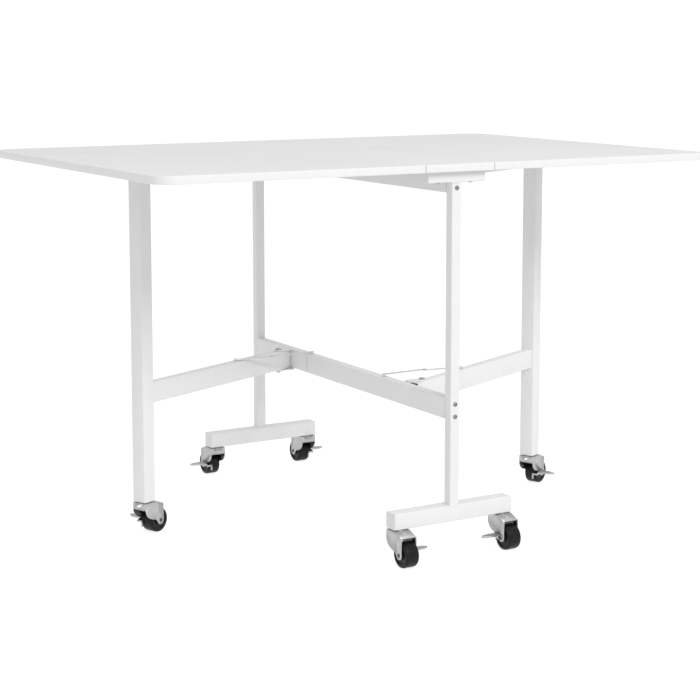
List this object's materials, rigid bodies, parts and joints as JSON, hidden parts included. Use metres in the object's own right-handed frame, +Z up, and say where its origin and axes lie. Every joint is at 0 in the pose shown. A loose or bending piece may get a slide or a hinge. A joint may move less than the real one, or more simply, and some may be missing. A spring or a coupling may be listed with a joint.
{
  "type": "sewing table",
  "caption": "Rolling fold-away sewing and cutting table: white laminate top with a fixed centre panel and hinged leaves on swinging gate legs, on swivel casters with brakes.",
  "frame": {"origin": "on the floor under the middle of the top", "axes": "+X along the table's width, +Y from the front to the back, +Z up"},
  "size_m": [1.486, 1.0744, 0.914],
  "materials": {
    "laminate_board": "white melamine laminate, satin",
    "white_tube": "white powder coat, satin",
    "zinc_plate": "bright zinc plate",
    "plain_steel": "plated steel",
    "wheel_plastic": "black moulded plastic"
  },
  "bodies": {
    "frame": {"top_centre": "laminate_board", "front_foot": "white_tube", "front_upright": "white_tube", "front_crossbar": "white_tube", "rear_foot": "white_tube", "rear_upright": "white_tube", "rear_crossbar": "white_tube", "upper_beam": "white_tube", "lower_beam": "white_tube", "hinge_a1_fixed_plate": "plain_steel", "hinge_a2_fixed_plate": "plain_steel", "hinge_b1_fixed_plate": "plain_steel", "hinge_b2_fixed_plate": "plain_steel", "pivot_a_lower": "white_tube", "pivot_a_upper": "white_tube", "pivot_b_lower": "white_tube", "pivot_b_upper": "white_tube", "caster_front_left_stem": "zinc_plate", "caster_front_right_stem": "zinc_plate", "caster_rear_left_stem": "zinc_plate", "caster_rear_right_stem": "zinc_plate"},
    "leaf_a": {"leaf_a": "laminate_board", "hinge_a1_leaf_plate": "plain_steel", "hinge_a2_leaf_plate": "plain_steel"},
    "gate_a": {"gate_a_leg": "white_tube", "gate_a_lower_rail": "white_tube", "gate_a_upper_rail": "white_tube", "caster_leg_a_stem": "zinc_plate"},
    "stay_a_beam_link": {"stay_a_beam_link": "plain_steel"},
    "stay_a_gate_link": {"stay_a_gate_link": "plain_steel"},
    "leaf_b": {"leaf_b": "laminate_board", "hinge_b1_leaf_plate": "plain_steel", "hinge_b2_leaf_plate": "plain_steel"},
    "gate_b": {"gate_b_leg": "white_tube", "gate_b_lower_rail": "white_tube", "gate_b_upper_rail": "white_tube", "caster_leg_b_stem": "zinc_plate"},
    "stay_b_beam_link": {"stay_b_beam_link": "plain_steel"},
    "stay_b_gate_link": {"stay_b_gate_link": "plain_steel"},
    "caster_front_left_fork": {"caster_front_left_fork": "zinc_plate"},
    "caster_front_left_wheel": {"caster_front_left_wheel": "wheel_plastic"},
    "caster_front_left_brake": {"caster_front_left_brake": "zinc_plate"},
    "caster_front_right_fork": {"caster_front_right_fork": "zinc_plate"},
    "caster_front_right_wheel": {"caster_front_right_wheel": "wheel_plastic"},
    "caster_front_right_brake": {"caster_front_right_brake": "zinc_plate"},
    "caster_rear_left_fork": {"caster_rear_left_fork": "zinc_plate"},
    "caster_rear_left_wheel": {"caster_rear_left_wheel": "wheel_plastic"},
    "caster_rear_left_brake": {"caster_rear_left_brake": "zinc_plate"},
    "caster_rear_right_fork": {"caster_rear_right_fork": "zinc_plate"},
    "caster_rear_right_wheel": {"caster_rear_right_wheel": "wheel_plastic"},
    "caster_rear_right_brake": {"caster_rear_right_brake": "zinc_plate"},
    "caster_leg_a_fork": {"caster_leg_a_fork": "zinc_plate"},
    "caster_leg_a_wheel": {"caster_leg_a_wheel": "wheel_plastic"},
    "caster_leg_a_brake": {"caster_leg_a_brake": "zinc_plate"},
    "caster_leg_b_fork": {"caster_leg_b_fork": "zinc_plate"},
    "caster_leg_b_wheel": {"caster_leg_b_wheel": "wheel_plastic"},
    "caster_leg_b_brake": {"caster_leg_b_brake": "zinc_plate"}
  },
  "joints": [
    {"name": "leaf_a_lift", "type": "hinge", "parent": "frame", "child": "leaf_a", "pos_m": [-0.09325, 0, 0.8919], "axis": [0, 1, 0], "range_deg": [0, 3]},
    {"name": "leaf_b_lift", "type": "hinge", "parent": "frame", "child": "leaf_b", "pos_m": [0.09325, 0, 0.8919], "axis": [0, -1, 0], "range_deg": [0, 3]},
    {"name": "gate_a_swing", "type": "hinge", "parent": "frame", "child": "gate_a", "pos_m": [-0.054, 0.266, 0.347], "axis": [0, 0, 1], "range_deg": [0, 65.6]},
    {"name": "stay_a_beam_pivot", "type": "hinge", "parent": "frame", "child": "stay_a_beam_link", "pos_m": [0, 0.179, 0.38], "axis": [0, 0, 1], "range_deg": [0, 110.43]},
    {"name": "stay_a_gate_pivot", "type": "hinge", "parent": "gate_a", "child": "stay_a_gate_link", "pos_m": [-0.21883, 0.19123, 0.377], "axis": [0, 0, 1], "range_deg": [-67.03, 0]},
    {"name": "gate_b_swing", "type": "hinge", "parent": "frame", "child": "gate_b", "pos_m": [0.054, -0.266, 0.347], "axis": [0, 0, 1], "range_deg": [0, 65.6]},
    {"name": "stay_b_beam_pivot", "type": "hinge", "parent": "frame", "child": "stay_b_beam_link", "pos_m": [0, -0.179, 0.38], "axis": [0, 0, 1], "range_deg": [0, 110.43]},
    {"name": "stay_b_gate_pivot", "type": "hinge", "parent": "gate_b", "child": "stay_b_gate_link", "pos_m": [0.21883, -0.19123, 0.377], "axis": [0, 0, 1], "range_deg": [-67.03, 0]},
    {"name": "caster_front_left_swivel", "type": "hinge", "parent": "frame", "child": "caster_front_left_fork", "pos_m": [-0.142, -0.471, 0.081], "axis": [0, 0, 1], "continuous": true},
    {"name": "caster_front_left_roll", "type": "hinge", "parent": "caster_front_left_fork", "child": "caster_front_left_wheel", "pos_m": [-0.142, -0.507, 0.03], "axis": [1, 0, 0], "continuous": true},
    {"name": "caster_front_left_brake_press", "type": "hinge", "parent": "caster_front_left_fork", "child": "caster_front_left_brake", "pos_m": [-0.142, -0.507, 0.03], "axis": [-1, 0, 0], "range_deg": [0, 15]},
    {"name": "caster_front_right_swivel", "type": "hinge", "parent": "frame", "child": "caster_front_right_fork", "pos_m": [0.142, -0.471, 0.081], "axis": [0, 0, 1], "continuous": true},
    {"name": "caster_front_right_roll", "type": "hinge", "parent": "caster_front_right_fork", "child": "caster_front_right_wheel", "pos_m": [0.142, -0.507, 0.03], "axis": [1, 0, 0], "continuous": true},
    {"name": "caster_front_right_brake_press", "type": "hinge", "parent": "caster_front_right_fork", "child": "caster_front_right_brake", "pos_m": [0.142, -0.507, 0.03], "axis": [-1, 0, 0], "range_deg": [0, 15]},
    {"name": "caster_rear_left_swivel", "type": "hinge", "parent": "frame", "child": "caster_rear_left_fork", "pos_m": [-0.142, 0.471, 0.081], "axis": [0, 0, 1], "continuous": true},
    {"name": "caster_rear_left_roll", "type": "hinge", "parent": "caster_rear_left_fork", "child": "caster_rear_left_wheel", "pos_m": [-0.142, 0.507, 0.03], "axis": [-1, 0, 0], "continuous": true},
    {"name": "caster_rear_left_brake_press", "type": "hinge", "parent": "caster_rear_left_fork", "child": "caster_rear_left_brake", "pos_m": [-0.142, 0.507, 0.03], "axis": [1, 0, 0], "range_deg": [0, 15]},
    {"name": "caster_rear_right_swivel", "type": "hinge", "parent": "frame", "child": "caster_rear_right_fork", "pos_m": [0.142, 0.471, 0.081], "axis": [0, 0, 1], "continuous": true},
    {"name": "caster_rear_right_roll", "type": "hinge", "parent": "caster_rear_right_fork", "child": "caster_rear_right_wheel", "pos_m": [0.142, 0.507, 0.03], "axis": [-1, 0, 0], "continuous": true},
    {"name": "caster_rear_right_brake_press", "type": "hinge", "parent": "caster_rear_right_fork", "child": "caster_rear_right_brake", "pos_m": [0.142, 0.507, 0.03], "axis": [1, 0, 0], "range_deg": [0, 15]},
    {"name": "caster_leg_a_swivel", "type": "hinge", "parent": "gate_a", "child": "caster_leg_a_fork", "pos_m": [-0.54395, 0.04375, 0.081], "axis": [0, 0, 1], "continuous": true},
    {"name": "caster_leg_a_roll", "type": "hinge", "parent": "caster_leg_a_fork", "child": "caster_leg_a_wheel", "pos_m": [-0.51116, 0.05862, 0.03], "axis": [-0.4131, 0.9107, 0], "continuous": true},
    {"name": "caster_leg_a_brake_press", "type": "hinge", "parent": "caster_leg_a_fork", "child": "caster_leg_a_brake", "pos_m": [-0.51116, 0.05862, 0.03], "axis": [0.4131, -0.9107, 0], "range_deg": [0, 15]},
    {"name": "caster_leg_b_swivel", "type": "hinge", "parent": "gate_b", "child": "caster_leg_b_fork", "pos_m": [0.54395, -0.04375, 0.081], "axis": [0, 0, 1], "continuous": true},
    {"name": "caster_leg_b_roll", "type": "hinge", "parent": "caster_leg_b_fork", "child": "caster_leg_b_wheel", "pos_m": [0.57673, -0.02888, 0.03], "axis": [-0.4131, 0.9107, 0], "continuous": true},
    {"name": "caster_leg_b_brake_press", "type": "hinge", "parent": "caster_leg_b_fork", "child": "caster_leg_b_brake", "pos_m": [0.57673, -0.02888, 0.03], "axis": [0.4131, -0.9107, 0], "range_deg": [0, 15]}
  ],
  "couplings": [
    {"joint": "stay_a_beam_pivot", "follows": "gate_a_swing", "ratio": 1.6832},
    {"joint": "stay_a_gate_pivot", "follows": "gate_a_swing", "ratio": -1.0216},
    {"joint": "stay_b_beam_pivot", "follows": "gate_b_swing", "ratio": 1.6832},
    {"joint": "stay_b_gate_pivot", "follows": "gate_b_swing", "ratio": -1.0216}
  ]
}
